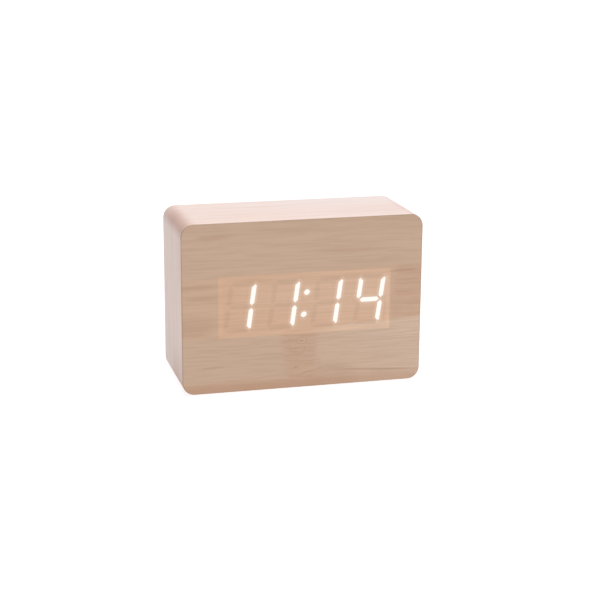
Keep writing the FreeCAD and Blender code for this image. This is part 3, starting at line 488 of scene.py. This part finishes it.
class Tree:
    """A Geometry Nodes tree with named sizes, used once on a mesh and turned back into a plain mesh."""

    def __init__(self, name, **sizes):
        self.tree = bpy.data.node_groups.new(name, "GeometryNodeTree")
        face = self.tree.interface
        face.new_socket("Geometry", in_out="INPUT", socket_type="NodeSocketGeometry")
        face.new_socket("Geometry", in_out="OUTPUT", socket_type="NodeSocketGeometry")
        self.sizes = {}
        for title, value in sizes.items():
            kind = "NodeSocketInt" if isinstance(value, int) else "NodeSocketFloat"
            socket = face.new_socket(title, in_out="INPUT", socket_type=kind)
            self.sizes[title] = (socket.identifier, value)
        self.given = self.tree.nodes.new("NodeGroupInput")

    def size(self, title):
        return self.given.outputs[title]

    def node(self, kind, values=(), output=0, **settings):
        """Adds a node: its settings first, then the values or links of its sockets."""
        made = self.tree.nodes.new(kind)
        for name, value in settings.items():
            setattr(made, name, value)
        for key, value in (values.items() if isinstance(values, dict) else enumerate(values)):
            for one in value if isinstance(value, list) else (value,):
                if isinstance(one, bpy.types.NodeSocket):
                    self.tree.links.new(one, made.inputs[key])
                else:
                    made.inputs[key].default_value = one
        return made.outputs[output]

    def maths(self, operation, *values):
        return self.node("ShaderNodeMath", values, operation=operation)

    def make(self, name, points, geometry):
        """Runs the tree on a mesh of those points, and gives the plain mesh object that comes out."""
        self.tree.links.new(geometry, self.tree.nodes.new("NodeGroupOutput").inputs[0])
        seed = bpy.data.meshes.new(name + "_places")
        seed.from_pydata(points, [], [])
        holder = bpy.data.objects.new(name + "_places", seed)
        scene.collection.objects.link(holder)
        modifier = holder.modifiers.new("tree", "NODES")
        modifier.node_group = self.tree
        for identifier, value in self.sizes.values():
            modifier[identifier] = value
        ready = holder.evaluated_get(bpy.context.evaluated_depsgraph_get())
        piece = bpy.data.objects.new(name, bpy.data.meshes.new_from_object(ready))
        bpy.data.objects.remove(holder)
        scene.collection.objects.link(piece)
        return piece


def islands(name):
    """The middle of each separate lump of a CAD node, in metres."""
    lump = bmesh.new()
    lump.from_mesh(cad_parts[name].data)
    bmesh.ops.remove_doubles(lump, verts=lump.verts, dist=1e-6)
    left = set(lump.verts)
    middles = []
    while left:
        found = [left.pop()]
        for vertex in found:
            near = {edge.other_vert(vertex) for edge in vertex.link_edges} & left
            left -= near
            found.extend(near)
        middles.append(sum((vertex.co for vertex in found), Vector()) / len(found))
    lump.free()
    return sorted(middles, key=lambda middle: tuple(middle))


milky_film = moulded("milky_film", rgb(232, 232, 228), 0.55, 0.4, 0.01)
white_block = moulded("white_block", rgb(236, 236, 232), 0.3, 0.6, 0.004)
lamp_resin = moulded("lamp_resin", rgb(238, 214, 120), 0.25, 0.2, 0.004)
board_lacquer = circuit_board()
screw_zinc = plated("screw_zinc", rgb(196, 198, 202), 0.3)
solder = plated("solder", rgb(206, 207, 208), 0.26)
black_moulding = moulded("black_moulding", rgb(30, 30, 32), 0.45, 0.25, 0.01)
dress(milky_film, "diffuser_film")
dress(white_block, "segment_reflector")
dress(lamp_resin, "segment_leds")
dress(board_lacquer, "display_board")
dress(screw_zinc, "display_screws")
dress(black_moulding, "display_header")

board_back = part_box("display_board")[1].y
plug_low, plug_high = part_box("display_header")
margin = 0.001


def under_plug(place):
    """Whether a lamp lies behind the ribbon's header, which hides its legs."""
    beside = plug_low.x - margin < place.x < plug_high.x + margin
    return beside and plug_low.z - margin < place.z < plug_high.z + margin


behind_lamps = [
    (place.x, board_back, place.z) for place in islands("segment_leds") if not under_plug(place)
]
joints = Tree(
    "lamp_joints", joint_radius=0.00045, joint_height=0.0004, leg_spread=0.0016, uneven_seed=4,
)
legs = []
for half in (-0.5, 0.5):
    apart = joints.maths("MULTIPLY", joints.size("leg_spread"), half)
    apart = joints.node("ShaderNodeCombineXYZ", (apart,))
    moved = {"Geometry": joints.size("Geometry"), "Offset": apart}
    legs.append(joints.node("GeometryNodeSetPosition", moved))
legs = joints.node("GeometryNodeJoinGeometry", {0: legs})
ball = {"Segments": 12, "Rings": 8, "Radius": joints.size("joint_radius")}
ball = joints.node("GeometryNodeMeshUVSphere", ball)
flat = joints.maths("DIVIDE", joints.size("joint_height"), joints.size("joint_radius"))
flat = joints.node("ShaderNodeCombineXYZ", (1.0, flat, 1.0))
dome = joints.node("GeometryNodeTransform", {"Geometry": ball, "Scale": flat})
uneven = {2: 0.85, 3: 1.15, "Seed": joints.size("uneven_seed")}
uneven = joints.node("FunctionNodeRandomValue", uneven, output=1)
domes = {"Points": legs, "Instance": dome, "Scale": uneven}
domes = joints.node("GeometryNodeInstanceOnPoints", domes)
domes = joints.node("GeometryNodeRealizeInstances", {"Geometry": domes})
domes = joints.node("GeometryNodeSetMaterial", {"Geometry": domes, "Material": solder.material})
lamp_joints = joints.make("lamp_joints", behind_lamps, domes)
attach(lamp_joints, "case")


# ------------------------------------------------------------------------------------------------------
# The main board: the same lacquered board, screwed to four bosses inside the rear cover. It carries the
# power socket, clock chip, crystal, capacitor, buzzer, sensors and the switches behind the buttons.

def socket_insert():
    """The black tongue of the power socket, with five gilded contacts let into it."""
    f = Finish("socket_insert", Specular_IOR_Level=0.45)
    across = f.x - middle_mm("usb_insert").x
    contacts = 5
    pitch = 0.65
    contact_half = 0.14
    floor_y = 11.1
    row_half = contacts * pitch / 2
    off_contact = abs((across + row_half) % pitch - pitch / 2)
    contact = off_contact.rise(contact_half + 0.02, contact_half - 0.02)
    contact = contact * abs(across).rise(row_half + 0.005, row_half - 0.025)
    contact = contact * f.y.rise(floor_y - 0.1, floor_y + 0.1)
    grain = f.noise(f.x * 4, f.y * 4, f.z * 4)
    f.set(Base_Color=f.mix(contact, f.shade(rgb(26, 26, 28), 0.9 + grain * 0.2), rgb(224, 180, 96)))
    f.set(Metallic=contact, Roughness=0.5 - contact * 0.25 + grain * 0.05)
    f.bump(grain, 0.01)
    return f


def chip_resin():
    """Black filled resin, matt from the mould, with the corner dot that marks the first leg."""
    f = Finish("chip_resin", Specular_IOR_Level=0.4)
    middle = middle_mm("control_chip")
    body_half = 4.0
    dot_in = 7.6
    dot_up = 2.4
    dot_radius = 0.55
    filler = f.noise(f.x * 9, f.y * 9, f.z * 9, detail=3)
    legs = abs(f.z - middle.z).rise(body_half - 0.1, body_half + 0.1)
    off_dot = ((f.x - middle.x + dot_in) ** 2 + (f.z - middle.z - dot_up) ** 2) ** 0.5
    dot = off_dot.rise(dot_radius + 0.05, dot_radius - 0.05)
    resin = f.shade(rgb(38, 38, 40), 0.85 + filler * 0.3 + dot * 0.5)
    f.set(Base_Color=f.mix(legs, resin, rgb(200, 201, 204)))
    f.set(Metallic=legs, Roughness=0.62 - legs * 0.32 - dot * 0.2 + filler * 0.08)
    f.bump(filler - dot, 0.01)
    return f


def capacitor_sleeve():
    """A blue-black shrink sleeve on an aluminium can, with the pale stripe on its negative side."""
    f = Finish("capacitor_sleeve", Specular_IOR_Level=0.5)
    middle = middle_mm("filter_capacitor")
    low, high = (corner * 1000 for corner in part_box("filter_capacitor"))
    out = ((f.x - middle.x) ** 2 + (f.z - middle.z) ** 2) ** 0.5
    rim = (high.x - low.x) / 2 - 0.45
    stripe_from = 1.75
    top = f.y.rise(low.y + 0.25, low.y + 0.15) * out.rise(rim + 0.05, rim - 0.05)
    stripe = (f.x - middle.x).rise(stripe_from - 0.05, stripe_from + 0.05)
    film = f.noise(f.x * 3, f.y * 3, f.z * 3)
    sleeve = f.mix(stripe, f.shade(rgb(24, 30, 66), 0.9 + film * 0.2), rgb(176, 182, 196))
    f.set(Base_Color=f.mix(top, sleeve, rgb(200, 201, 202)), Metallic=top, Roughness=0.32 + film * 0.06)
    f.bump(film, 0.008)
    return f


dress(board_lacquer, "main_board")
dress(screw_zinc, "board_screws")
dress(black_moulding, "board_header", "buzzer", "temperature_sensor")
dress(black_moulding, "set_switch", "up_switch", "down_switch")
plunger_plastic = moulded("plunger_plastic", rgb(58, 56, 54), 0.4, 0.25, 0.006)
dress(plunger_plastic, "set_plunger", "up_plunger", "down_plunger")
dress(plated("socket_tin", rgb(190, 192, 196), 0.28), "usb_shell")
dress(plated("can_metal", rgb(204, 204, 204), 0.34), "microphone", "clock_crystal")
dress(socket_insert(), "usb_insert")
dress(chip_resin(), "control_chip")
dress(capacitor_sleeve(), "filter_capacitor")

part_pitch = 0.0028
parts_in_row = 7
board_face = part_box("main_board")[0].y
chip_low, chip_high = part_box("control_chip")
row_start = (chip_low.x + chip_high.x - part_pitch * (parts_in_row - 1)) / 2
rows = [(row_start, board_face, z) for z in (chip_low.z - 0.0024, chip_high.z + 0.0022)]
chips = Tree(
    "chip_parts", part_length=0.002, part_width=0.00125, part_height=0.0005, end_length=0.0004,
    part_pitch=part_pitch, parts_in_row=parts_in_row, turn_seed=2,
)


def brick(length, place, lift, finish):
    """One brick of a chip part, its under side on the board."""
    size = chips.node("ShaderNodeCombineXYZ", (length, lift, chips.size("part_width")))
    sides = {"Size": size, "Vertices X": 3, "Vertices Y": 2, "Vertices Z": 3}
    cube = chips.node("GeometryNodeMeshCube", sides)
    middle = chips.node("ShaderNodeCombineXYZ", (place, chips.maths("MULTIPLY", lift, -0.5)))
    cube = chips.node("GeometryNodeTransform", {"Geometry": cube, "Translation": middle})
    return chips.node("GeometryNodeSetMaterial", {"Geometry": cube, "Material": finish.material})


ceramic = moulded("chip_ceramic", rgb(46, 44, 46), 0.3, 0.3, 0.004)
taller = chips.maths("MULTIPLY", chips.size("part_height"), 1.08)
between_ends = chips.maths("SUBTRACT", chips.size("part_length"), chips.size("end_length"))
part = [brick(chips.size("part_length"), 0.0, chips.size("part_height"), ceramic)]
for side in (-0.5, 0.5):
    end = chips.maths("MULTIPLY", between_ends, side)
    part.append(brick(chips.size("end_length"), end, taller, solder))
part = chips.node("GeometryNodeJoinGeometry", {0: part})
step = chips.node("ShaderNodeCombineXYZ", (chips.size("part_pitch"),))
line = {"Count": chips.size("parts_in_row"), "Offset": step}
line = chips.node("GeometryNodeMeshLine", line, mode="OFFSET")
line = {"Points": chips.size("Geometry"), "Instance": line}
line = chips.node("GeometryNodeInstanceOnPoints", line)
line = chips.node("GeometryNodeRealizeInstances", {"Geometry": line})
askew = {0: (0, -0.04, 0), 1: (0, 0.04, 0), "Seed": chips.size("turn_seed")}
askew = chips.node("FunctionNodeRandomValue", askew, data_type="FLOAT_VECTOR")
parts = {"Points": line, "Instance": part, "Rotation": askew}
parts = chips.node("GeometryNodeInstanceOnPoints", parts)
parts = chips.node("GeometryNodeRealizeInstances", {"Geometry": parts})
chip_parts = chips.make("chip_parts", rows, parts)
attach(chip_parts, "case")


# ------------------------------------------------------------------------------------------------------
# The wires: a flat ribbon of grey strands between the two boards, with one edge marked red, and two
# soft leads from the battery contacts.

def ribbon_insulation():
    f = Finish("ribbon_insulation", Specular_IOR_Level=0.4)
    low, high = (corner * 1000 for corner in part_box("display_ribbon"))
    strands = 14
    strand = (high.x - low.x) / strands
    groove = abs((f.x - low.x) % strand - strand / 2).rise(strand * 0.3, strand * 0.5)
    marked = f.x.rise(low.x + strand + 0.05, low.x + strand - 0.05)
    soft = f.noise(f.x * 1.5, f.y * 1.5, f.z * 1.5)
    colour = f.mix(marked, rgb(170, 171, 175), rgb(178, 44, 38))
    # The grooves between the strands are painted darker, as painted shade.
    f.set(Base_Color=f.shade(colour, 0.96 + soft * 0.08 - groove * 0.3), Roughness=0.42 + soft * 0.08)
    f.bump(1 - groove, 0.25)
    return f


dress(ribbon_insulation(), "display_ribbon")
dress(moulded("red_insulation", rgb(190, 30, 26), 0.35, 0.5, 0.004), "battery_lead_red")
dress(moulded("black_insulation", rgb(26, 26, 26), 0.35, 0.5, 0.004), "battery_lead_black")


# ------------------------------------------------------------------------------------------------------
# The rear cover and the battery door: warm white plastic with a fine spark-eroded grain. Four screws
# hold the cover, and the door hooks in at one end and snaps shut at the other. The signs over the
# buttons and the arrow on the door are sunk in the face and filled with grey paint.

def sunken_paint(marks):
    """Paint on the floor of the marks sunk in the outer face, each at an x and a z."""
    floor_y = 18.25
    reach = 1.5

    def painted(f):
        share = 0.0
        for x, z in marks:
            share = abs(f.x - x).most(abs(f.z - z)).rise(reach + 0.1, reach) + share
        return share * abs(f.y - floor_y).rise(0.12, 0.08)

    return painted


button_names = ("set_button", "up_button", "down_button")
sign_rise = 5.7
arrow_inset = 7.4
caps = [middle_mm(name) for name in button_names]
button_signs = sunken_paint([(cap.x, cap.z + sign_rise) for cap in caps])
door_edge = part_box("battery_door")[1].x * 1000
door_arrow = sunken_paint([(door_edge - arrow_inset, middle_mm("battery_door").z)])
warm_white = rgb(226, 219, 208)
dress(moulded("cover_plastic", warm_white, 0.5, 0.16, 0.012, button_signs), "rear_cover")
dress(moulded("door_plastic", warm_white, 0.5, 0.16, 0.012, door_arrow), "battery_door")
dress(screw_zinc, "cover_screws")


# ------------------------------------------------------------------------------------------------------
# The buttons: three round caps of a greyer plastic, polished a little where fingers press them. Each
# is held in its hole in the cover by a flange behind it.

def button_plastic(name):
    f = Finish(name + "_plastic", Specular_IOR_Level=0.45)
    middle = middle_mm(name)
    grain = f.noise(f.x * 5, f.y * 5, f.z * 5)
    flow = f.noise(f.x * 0.1, f.y * 0.1, f.z * 0.1)
    out = ((f.x - middle.x) ** 2 + (f.z - middle.z) ** 2) ** 0.5
    polish = (out + flow * 0.8).rise(3.4, 0.8)
    f.set(Base_Color=f.shade(rgb(206, 199, 188), 0.97 + flow * 0.04 + (grain - 0.5) * 0.04))
    f.set(Roughness=0.46 - polish * 0.14 + (grain - 0.5) * 0.1)
    f.bump(grain * (1 - polish * 0.7), 0.01)
    return f


for name in button_names:
    dress(button_plastic(name), name)


# ------------------------------------------------------------------------------------------------------
# The cells and their contacts: steel cans in a shrunk printed sleeve, between sprung plates of
# nickel-plated steel.

def cell_sleeve(name, plus):
    """Dark sleeve with a copper band at the positive end, which lies towards +X where plus is 1."""
    f = Finish(name + "_sleeve", Specular_IOR_Level=0.5, Coat_Weight=0.4, Coat_Roughness=0.12)
    low, high = (corner * 1000 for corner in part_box(name))
    middle = (low + high) / 2
    radius = (high.z - low.z) / 2
    half = (high.x - low.x) / 2
    nub = 0.8
    band_from = 8.0
    plus_at = 14.0
    minus_at = -12.0
    along = (f.x - middle.x) * plus
    up = f.z - middle.z
    out = ((f.y - middle.y) ** 2 + up ** 2) ** 0.5
    film = f.noise(f.x * 0.8, f.y * 0.8, f.z * 0.8, detail=2)
    band = along.rise(band_from - 0.05, band_from + 0.05)
    lines = abs(along - band_from + 0.6).rise(0.22, 0.16).most(abs(along + 17.5).rise(0.3, 0.24))
    outer = (f.y - middle.y).rise(1.0, 1.1)
    lying = abs(up).rise(0.38, 0.3)
    plus_sign = lying * abs(along - plus_at).rise(1.7, 1.6)
    plus_sign = plus_sign.most(abs(along - plus_at).rise(0.38, 0.3) * abs(up).rise(1.7, 1.6))
    minus_sign = lying * abs(along - minus_at).rise(1.7, 1.6)
    seam = (f.y - middle.y).rise(-3.0, -3.4) * abs(up - 1.5).rise(0.12, 0.05)
    print_white = lines.most(plus_sign.most(minus_sign) * outer)
    sleeve = f.mix(band, rgb(38, 58, 74), rgb(178, 116, 72))
    sleeve = f.shade(f.mix(print_white, sleeve, rgb(226, 226, 222)), 0.95 + film * 0.1 - seam * 0.3)
    plus_end = along.rise(half - nub - 0.3, half - nub - 0.2)
    minus_end = along.rise(-half + 0.3, -half + 0.2) * out.rise(radius - 0.8, radius - 0.9)
    metal = minus_end.most(plus_end * out.rise(2.3, 2.2))
    washer = plus_end * out.rise(2.2, 2.3) * out.rise(radius - 0.8, radius - 0.9)
    sleeve = f.mix(washer, sleeve, rgb(214, 210, 198))
    f.set(Base_Color=f.mix(metal, sleeve, rgb(206, 204, 198)))
    f.set(Metallic=metal.most(band * 0.35 * (1 - washer)))
    f.set(Roughness=0.34 + film * 0.08 + washer * 0.3 - metal * 0.08)
    f.bump(film * 0.3 + print_white * 0.2 + seam, 0.03)
    return f


nickel = plated("nickel", rgb(205, 199, 188), 0.22)
for name, plus in (("battery_cell_1", 1), ("battery_cell_2", -1), ("battery_cell_3", 1)):
    dress(cell_sleeve(name, plus), name)
dress(nickel, "negative_terminal", "left_bridge_contact", "right_bridge_contact", "positive_terminal")


# ------------------------------------------------------------------------------------------------------
# The setting: a plain white floor, wide soft light from above the front with a weaker one from behind,
# and the camera, which looks slightly down on the front from its left.

def floor_finish():
    """A lit white table top, seen from above only."""
    f = Finish("floor_white", Roughness=0.9, Specular_IOR_Level=0.1, Emission_Strength=0.85)
    f.set(Base_Color=(0.28, 0.28, 0.28), Emission_Color=(1, 1, 1))
    below = f.node("ShaderNodeNewGeometry", output="Backfacing")
    clear = f.node("ShaderNodeBsdfTransparent")
    seen = f.node("ShaderNodeMixShader", (below, Value(f, f.shader.outputs[0]), clear))
    f.put(f.tree.nodes["Material Output"].inputs[0], seen)
    return f


floor_mesh = bpy.data.meshes.new("floor")
floor_half = 12.0
ways = ((-1, -1), (1, -1), (1, 1), (-1, 1))
floor_corners = [(x * floor_half, y * floor_half, 0) for x, y in ways]
floor_mesh.from_pydata(floor_corners, [], [(0, 1, 2, 3)])
floor_mesh.materials.append(floor_finish().material)
floor = bpy.data.objects.new("floor", floor_mesh)
scene.collection.objects.link(floor)


def wide_light(name, side, front, above, strength, softness):
    """Even light from a wide, distant panel in that direction. Softness is its width in degrees."""
    lamp = bpy.data.lights.new(name, "SUN")
    lamp.energy = strength
    lamp.angle = math.radians(softness)
    light = bpy.data.objects.new(name, lamp)
    light.rotation_euler = Vector((side, -front, above)).to_track_quat("Z", "Y").to_euler()
    scene.collection.objects.link(light)


wide_light("overhead", side=0.05, front=0.56, above=1.5, strength=2.76, softness=40)
wide_light("rear_fill", side=0.2, front=-1.0, above=0.8, strength=0.6, softness=60)
world = bpy.data.worlds.new("studio")
world.use_nodes = True
studio = world.node_tree
sky = studio.nodes["Background"]
sky.inputs["Color"].default_value = (1, 1, 1, 1)
sky_strength = studio.nodes.new("ShaderNodeMapRange")
sky_strength.inputs["To Min"].default_value = 0.25
light_path = studio.nodes.new("ShaderNodeLightPath")
studio.links.new(light_path.outputs["Is Camera Ray"], sky_strength.inputs[0])
studio.links.new(sky_strength.outputs[0], sky.inputs["Strength"])
scene.world = world
scene.view_settings.view_transform = "Standard"

azimuth = math.radians(-14.969)
elevation = math.radians(15.133)
roll = math.radians(0.389)
target = Vector((0.003756, 0.0, 0.032112))
distance = 0.6291
camera_data = bpy.data.cameras.new("camera")
camera_data.sensor_width = 36.0
camera_data.lens = 90.396
camera_data.clip_start = 0.01
camera_data.clip_end = 100.0
level = math.cos(elevation)
backward = Vector((math.sin(azimuth) * level, -math.cos(azimuth) * level, math.sin(elevation)))
right = (-backward).cross(Vector((0, 0, 1))).normalized()
upward = right.cross(-backward)
tilted_right = right * math.cos(roll) + upward * math.sin(roll)
tilted_up = upward * math.cos(roll) - right * math.sin(roll)
turn = Matrix((tilted_right, tilted_up, backward)).transposed().to_4x4()
camera = bpy.data.objects.new("camera", camera_data)
camera.matrix_world = Matrix.Translation(target + backward * distance) @ turn
scene.collection.objects.link(camera)
scene.camera = camera
